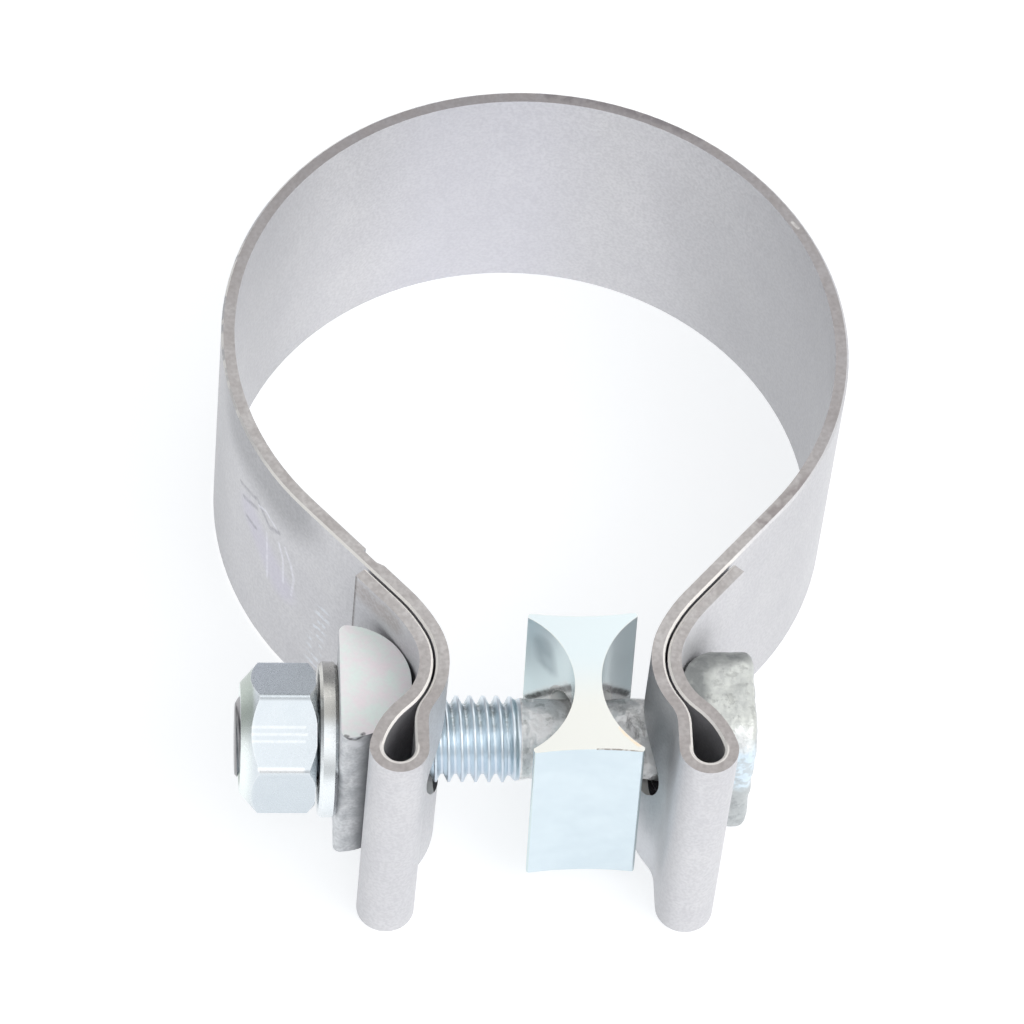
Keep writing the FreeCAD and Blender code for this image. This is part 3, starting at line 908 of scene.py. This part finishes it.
def thread_profile(share):
    """Depth of the thread, from 0 on the crest to 1 in the root, at a share of the pitch."""
    away = abs(share - 0.5)
    crest = 0.5 - CREST_SHARE / 2
    root = ROOT_SHARE / 2
    slope = (crest - away) / (crest - root)
    return min(max(slope, 0.0), 1.0)


def rod_radius(x, turn):
    share = ((x - THREAD_START) / PITCH - turn) % 1.0
    threaded = THREAD_RADIUS - THREAD_DEPTH * thread_profile(share)
    if x < THREAD_STOP - PITCH:
        end_cone = END_RADIUS + (x - bolt_low[0])
        return min(threaded, end_cone)
    fade = min((x - THREAD_STOP + PITCH) / PITCH, 1.0)
    return threaded + (SHANK_RADIUS - threaded) * fade


print("bolt axis at y", round(BOLT_Y / MM, 2), "z", round(BOLT_Z / MM, 2), "mm")

# %% [markdown]
# The shank and the head were forged hot and only then dipped in zinc, so they are dented all over. Such dents show
# in the outline, where bump would not, so they are in the meshes. Two sizes of noise give their depth. They only
# push inwards, so that the bolt stays inside the solid's outline.

# %% Dents of the forging
SHANK_DENTS, HEAD_DENTS = 0.3 * MM, 0.24 * MM
COARSE_DENT, FINE_DENT = 2.0 * MM, 0.75 * MM


def forged_dent(place, deepest):
    coarse = noise.noise(place / COARSE_DENT)
    fine = noise.noise(place / FINE_DENT)
    return deepest * min(max(0.45 + 0.7 * coarse + 0.3 * fine, 0.0), 1.0)


print("dents up to", round(SHANK_DENTS / MM, 2), "mm deep on the shank and", round(HEAD_DENTS / MM, 2), "on the head")

# %% [markdown]
# Thread and shank are tubes made in the same way, from rings of points. A ring's points are joined to those of the
# next ring by four-sided faces, and one flat face closes each end.

# %% Make a tube from rings
def tube_from_rings(name, rings):
    """Closed mesh through rings of points, with a flat face at each end."""
    shape = bmesh.new()
    rows = [[shape.verts.new(point) for point in ring] for ring in rings]
    for row, following in zip(rows, rows[1:]):
        for side in range(len(row)):
            after = (side + 1) % len(row)
            shape.faces.new((row[side], row[after], following[after], following[side]))
    shape.faces.new(rows[0])
    shape.faces.new(rows[-1])
    bmesh.ops.recalc_face_normals(shape, faces=shape.faces)
    mesh = bpy.data.meshes.new(name)
    shape.to_mesh(mesh)
    shape.free()
    mesh.shade_smooth()
    piece = bpy.data.objects.new(name, mesh)
    bpy.context.scene.collection.objects.link(piece)
    return piece


print("a rod of", round((THREAD_STOP - bolt_low[0]) / MM, 1), "mm is to be threaded")

# %% [markdown]
# The thread needs a step along the rod that is much finer than its pitch. The bare shank needs only a few points for
# each dent. It ends inside the head, where its end can't be seen.

# %% Build the thread and the shank
RING_SIDES = 96
THREAD_STEP, SHANK_STEP = 0.075 * MM, 0.2 * MM
HEAD_START = 14.5 * MM
SHANK_END = HEAD_START + 6 * MM


def rod_point(x, turn):
    radius = rod_radius(x, turn)
    level, upward = math.cos(math.tau * turn), math.sin(math.tau * turn)
    if x > THREAD_STOP:
        skin = Vector((x, SHANK_RADIUS * level, SHANK_RADIUS * upward))
        radius -= forged_dent(skin, SHANK_DENTS) * min((x - THREAD_STOP) / MM, 1.0)
    return x, BOLT_Y + radius * level, BOLT_Z + radius * upward


def rings_of_rod(first_x, last_x, step):
    count = math.ceil((last_x - first_x) / step)
    for index in range(count + 1):
        x = min(first_x + index * step, last_x)
        yield [rod_point(x, side / RING_SIDES) for side in range(RING_SIDES)]


thread = tube_from_rings("bolt_thread", rings_of_rod(bolt_low[0], THREAD_STOP, THREAD_STEP))
shank = tube_from_rings("bolt_shank", rings_of_rod(THREAD_STOP, SHANK_END, SHANK_STEP))
print("thread has", len(thread.data.polygons), "faces, shank", len(shank.data.polygons))

# %% [markdown]
# The thread shares the zinc finish. Its grooves on the upper side carry a patchy painted shade, its underside a blue
# painted shade, and its cut end is dark. The grooves could be found by their place in the pitch again, but the
# distance from the bolt's axis tells just as well how deep a point lies in one.

# %% Dress the thread
GROOVE_RADII, CUT_END_X = (4.75 * MM, 4.15 * MM), (-33.4 * MM, -33.7 * MM)


def thread_detail(tree, base):
    groove = step_between(tree, from_bolt_axis(tree), *GROOVE_RADII)
    upper = step_between(tree, facing(tree, (0, 0.81, 0.59)), -0.2, 0.8)
    blotchy = step_between(tree, noise_at(tree, place_on(tree), 0.5, 2.0), 0.4, 0.62, 0.25, 0.7)
    lower = step_between(tree, facing(tree, (0, -0.81, -0.59)), 0.1, 0.9)
    base = tint(tree, base, 0.7, (236, 246, 253))
    # Patchy painted shade in the upper grooves, and a blue painted shade on the underside.
    base = tint(tree, base, product(tree, upper, groove, blotchy), (124, 134, 130))
    base = tint(tree, base, lower, (160, 172, 192), 0.4)
    return tint(tree, base, step_between(tree, along(tree, 0), *CUT_END_X), (150, 148, 150))


dress(thread, zinc_finish("thread_zinc", 0.32, thread_detail))

# %% [markdown]
# ### Forging skin
#
# The skin of shank and head is mottled in light and dark grey, with small pits where scale was pressed in. The pits
# are shallow enough for bump. One finish makes the skin, and each piece gives it its own tones.

# %% Dress the shank
FORGED_METALLIC = 0.6
PIT_TONE = (148, 149, 145)
SHANK_GLINT = [[(11.4, -45.5, 3.2), (12.0, -46.6, 2.1), (12.6, -47.4, -0.4)]]


def forging_finish(name, light, dark, scale, pitted):
    material, tree, surface = new_finish(name, 0.42, metallic=FORGED_METALLIC)
    marks = use_group(tree, clouds_and_grain, Cloud_Size=2.2, Grain_Size=0.5, Contrast=1.1)
    base = mix_colour(tree, marks["Clouds"], colour(*light), colour(*dark))
    base = tint(tree, base, marks["Grain"], scale, 0.35)
    pits = step_between(tree, noise_at(tree, place_on(tree), 1.4, 4.0, 0.65), 0.53, 0.64)
    add_bump(tree, surface, maths(tree, "SUBTRACT", marks["Grain"], pits), 0.05, 0.6)
    return material, tree, surface, tint(tree, base, pits, PIT_TONE, pitted)


def shank_finish():
    tones = (255, 255, 255), (243, 241, 240), (216, 214, 212)
    material, tree, surface, base = forging_finish("shank_skin", *tones, 0.4)
    glint = marks_along(tree, SHANK_GLINT, 0.75, 0.1)
    tree.links.new(tint(tree, base, glint, (255, 255, 255)), surface.inputs["Base Color"])
    tree.links.new(step_between(tree, glint, 0.0, 1.0, FORGED_METALLIC, 0.0), surface.inputs["Metallic"])
    return material


dress(shank, shank_finish())

# %% [markdown]
# The head is taken over from the solid. Its faces are closed where the shank goes in and given an even, fine grid
# of points by a Remesh modifier, and every point is then pushed in by the same dents as on the shank. A subdivision
# would keep the solid's long, thin triangles, which dents would tear.

# %% Take the forged head over from the solid
HEAD_GRID = 0.28 * MM
HEAD_INSET = 0.04 * MM
WELD_DISTANCE = 0.001 * MM


def closed_head():
    """Mesh of the solid's faces that lie wholly past the shank, closed where the shank goes in."""
    shape = bmesh.new()
    shape.from_mesh(pieces["tee_bolt"].data)
    bmesh.ops.remove_doubles(shape, verts=shape.verts, dist=WELD_DISTANCE)
    rod_verts = [vert for vert in shape.verts if vert.co.x < HEAD_START]
    bmesh.ops.delete(shape, geom=rod_verts, context="VERTS")
    bmesh.ops.holes_fill(shape, edges=[edge for edge in shape.edges if edge.is_boundary])
    mesh = bpy.data.meshes.new("bolt_head")
    shape.to_mesh(mesh)
    shape.free()
    return mesh


def forged_head(name):
    draft = bpy.data.objects.new(name, closed_head())
    bpy.context.scene.collection.objects.link(draft)
    grid = draft.modifiers.new("grid", "REMESH")
    grid.mode = "VOXEL"
    grid.voxel_size = HEAD_GRID
    evaluated = draft.evaluated_get(bpy.context.evaluated_depsgraph_get())
    mesh = bpy.data.meshes.new_from_object(evaluated)
    draft.modifiers.clear()
    normals = [vert.normal.copy() for vert in mesh.vertices]
    for vert, normal in zip(mesh.vertices, normals):
        vert.co -= normal * (HEAD_INSET + forged_dent(vert.co, HEAD_DENTS))
    mesh.shade_smooth()
    draft.data = mesh
    return draft


head = forged_head("bolt_head")
print("head has", len(head.data.polygons), "faces")

# %% [markdown]
# The head has a painted shade on its underside and towards the flange, with a broad painted gleam low on the front
# and a painted highlight spot above it. All three pieces then ride with the bolt and stand for its solid, which stays
# for collision only.

# %% Dress the head and fit the bolt's pieces
HEAD_SHADE = [[(16.3, -44.6, 9.7), (16.8, -40.2, 9.7), (18.6, -38.2, 9.2), (22.6, -37.6, 8.9)]]
HEAD_HIGHLIGHT_SPOT = [[(21.5, -48.2, 8.7), (22.0, -49.2, 7.8)]]
HEAD_GLEAM = [[(22.0, -49.9, 7.2), (22.2, -50.0, 1.5)]]


def head_finish():
    tones = (226, 228, 222), (212, 214, 210), (186, 189, 187)
    material, tree, surface, base = forging_finish("head_skin", *tones, 0.35)
    lower = step_between(tree, facing(tree, (0, 0, 1)), 0.6, 0.1)
    behind = step_between(tree, facing(tree, (-0.5, 0.8, 0.2)), 0.2, 0.6, 0.0, 0.65)
    shade = product(tree, marks_along(tree, HEAD_SHADE, 2.5, 0.2, 1.5), 0.95)
    # Painted shade below and towards the flange, then a painted gleam and a painted highlight spot.
    base = tint(tree, base, lower, (168, 175, 183), 0.45)
    base = tint(tree, base, maths(tree, "MAXIMUM", behind, shade), (134, 137, 136))
    base = tint(tree, base, marks_along(tree, HEAD_GLEAM, 2.2, 0.6, 1.0), (226, 241, 251))
    base = tint(tree, base, marks_along(tree, HEAD_HIGHLIGHT_SPOT, 1.3, 0.35), (250, 252, 251))
    tree.links.new(base, surface.inputs["Base Color"])
    return material


dress(head, head_finish())
for piece in (thread, shank, head):
    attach(piece, "bolt_body")
    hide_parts("tee_bolt")
print("bolt is", thread.name + ",", shank.name, "and", head.name)
